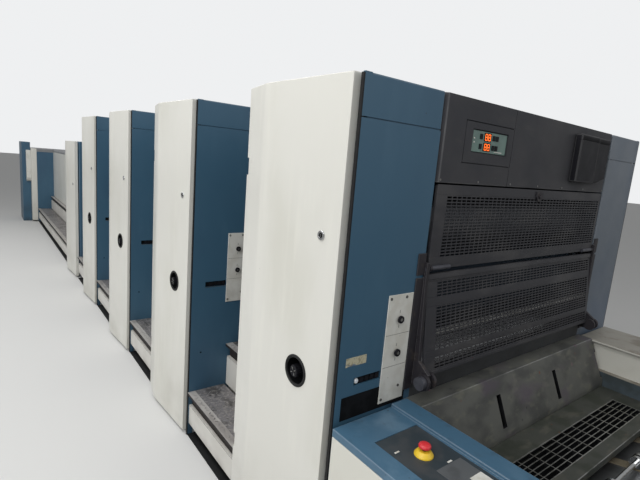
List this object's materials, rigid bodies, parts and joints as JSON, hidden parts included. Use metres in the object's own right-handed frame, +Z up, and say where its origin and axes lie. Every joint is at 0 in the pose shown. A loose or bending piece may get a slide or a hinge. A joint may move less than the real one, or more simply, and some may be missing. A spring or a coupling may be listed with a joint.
{
  "type": "sheet-fed offset printing press",
  "caption": "Offset printing press line with feeder, feed table, tall printing units with white side doors and slotted guards, delivery head and long delivery.",
  "frame": {"origin": "on the floor, on the centre line of the press, in the middle of the four printing units", "axes": "+X along the press to the feeder, -Y to the operator side, +Z up"},
  "size_m": [15.035, 2.598, 1.945],
  "materials": {
    "frame_dark": "matt dark paint",
    "housing_blue": "satin",
    "door_white": "satin, soiled at the foot",
    "cover_charcoal": "satin",
    "display_green": "satin",
    "box_black": "matt",
    "cylinder_steel": "ground",
    "blanket_blue": "matt",
    "plate_metal": "grained",
    "bracket_dark": "painted",
    "guard_charcoal": "satin",
    "hinge_steel": "zinc plated",
    "knob_black": "matt",
    "plate_white": "satin",
    "step_metal": "worn tread plate",
    "apron_grey": "worn",
    "grating_steel": "worn",
    "desk_white": "satin",
    "desk_blue": "satin",
    "panel_black": "matt",
    "stop_yellow": "satin",
    "stop_red": "satin",
    "table_steel": "ground",
    "tape_woven": "woven",
    "wheel_chrome": "polished",
    "feeder_blue": "satin",
    "head_aluminium": "machined",
    "board_wood": "worn",
    "hood_grey": "satin",
    "box_white": "satin"
  },
  "bodies": {
    "press": {"unit_frames": "frame_dark", "operator_housings": "housing_blue", "drive_housings": "housing_blue", "drive_covers": "door_white", "front_covers": "cover_charcoal", "display_panels": "display_green", "ink_drive_boxes": "box_black", "rear_covers": "cover_charcoal", "impression_cylinders": "cylinder_steel", "blanket_cylinders": "blanket_blue", "plate_cylinders": "plate_metal", "guard_brackets": "bracket_dark", "rear_unit_guards": "guard_charcoal", "door_hinges": "hinge_steel", "register_plates": "plate_white", "lower_steps": "step_metal", "walkways": "step_metal", "aprons": "apron_grey", "footboard": "apron_grey", "grating": "grating_steel", "desk_body": "desk_white", "desk_top": "desk_blue", "desk_panel": "panel_black", "stop_base": "stop_yellow", "drive_side_wall": "desk_white", "infeed_base": "frame_dark", "feed_table": "table_steel", "feed_tapes": "tape_woven", "feed_wheels": "wheel_chrome", "feeder_housings": "housing_blue", "feeder_frame": "feeder_blue", "suction_head": "head_aluminium", "feeder_pile_board": "board_wood", "delivery_head": "housing_blue", "delivery_head_core": "cover_charcoal", "extended_delivery": "desk_white", "delivery_hoods": "hood_grey", "station_sides": "housing_blue", "station_core": "frame_dark", "station_covers": "door_white", "station_hood": "hood_grey", "control_cabinet": "feeder_blue", "operating_box": "box_white", "delivery_pile_board": "board_wood"},
    "unit_1_door": {"unit_1_door": "door_white"},
    "unit_2_door": {"unit_2_door": "door_white"},
    "unit_3_door": {"unit_3_door": "door_white"},
    "unit_4_door": {"unit_4_door": "door_white"},
    "delivery_door": {"delivery_door": "door_white"},
    "turn_knob_1": {"turn_knob_1": "knob_black"},
    "turn_knob_2": {"turn_knob_2": "knob_black"},
    "turn_knob_3": {"turn_knob_3": "knob_black"},
    "turn_knob_4": {"turn_knob_4": "knob_black"},
    "upper_register_knob": {"upper_register_knob": "knob_black"},
    "lower_register_knob": {"lower_register_knob": "knob_black"},
    "upper_guard": {"upper_guard": "guard_charcoal"},
    "lower_guard": {"lower_guard": "guard_charcoal"},
    "stop_button": {"stop_button": "stop_red"}
  },
  "joints": [
    {"name": "unit_1_door_hinge", "type": "hinge", "parent": "press", "child": "unit_1_door", "pos_m": [1.604, -1.115, 0.96], "axis": [0, 0, -1], "range_deg": [0, 100]},
    {"name": "unit_2_door_hinge", "type": "hinge", "parent": "press", "child": "unit_2_door", "pos_m": [0.304, -1.115, 0.96], "axis": [0, 0, -1], "range_deg": [0, 100]},
    {"name": "unit_3_door_hinge", "type": "hinge", "parent": "press", "child": "unit_3_door", "pos_m": [-0.996, -1.115, 0.96], "axis": [0, 0, -1], "range_deg": [0, 100]},
    {"name": "unit_4_door_hinge", "type": "hinge", "parent": "press", "child": "unit_4_door", "pos_m": [-2.296, -1.115, 0.96], "axis": [0, 0, -1], "range_deg": [0, 100]},
    {"name": "delivery_door_hinge", "type": "hinge", "parent": "press", "child": "delivery_door", "pos_m": [-3.59, -1.115, 0.83], "axis": [0, 0, -1], "range_deg": [0, 100]},
    {"name": "turn_knob_1_turn", "type": "hinge", "parent": "press", "child": "turn_knob_1", "pos_m": [2.087, -1.14, 0.905], "axis": [0, -1, 0], "continuous": true},
    {"name": "turn_knob_2_turn", "type": "hinge", "parent": "press", "child": "turn_knob_2", "pos_m": [0.787, -1.14, 0.905], "axis": [0, -1, 0], "continuous": true},
    {"name": "turn_knob_3_turn", "type": "hinge", "parent": "press", "child": "turn_knob_3", "pos_m": [-0.513, -1.14, 0.905], "axis": [0, -1, 0], "continuous": true},
    {"name": "turn_knob_4_turn", "type": "hinge", "parent": "press", "child": "turn_knob_4", "pos_m": [-1.813, -1.14, 0.905], "axis": [0, -1, 0], "continuous": true},
    {"name": "upper_register_turn", "type": "hinge", "parent": "press", "child": "upper_register_knob", "pos_m": [2.305, -0.8455, 1.126], "axis": [1, 0, 0], "range_deg": [-150, 150]},
    {"name": "lower_register_turn", "type": "hinge", "parent": "press", "child": "lower_register_knob", "pos_m": [2.305, -0.8455, 0.998], "axis": [1, 0, 0], "range_deg": [-150, 150]},
    {"name": "upper_guard_hinge", "type": "hinge", "parent": "press", "child": "upper_guard", "pos_m": [2.287, 0, 1.304], "axis": [0, 1, 0], "range_deg": [0, 90]},
    {"name": "lower_guard_hinge", "type": "hinge", "parent": "press", "child": "lower_guard", "pos_m": [2.35, 0, 0.878], "axis": [0, 1, 0], "range_deg": [0, 40]},
    {"name": "stop_push", "type": "slide", "parent": "press", "child": "stop_button", "axis": [0, 0, -1], "range_m": [0, 0.004], "stiffness_N_per_m": 900, "springref_m": -0.004}
  ]
}
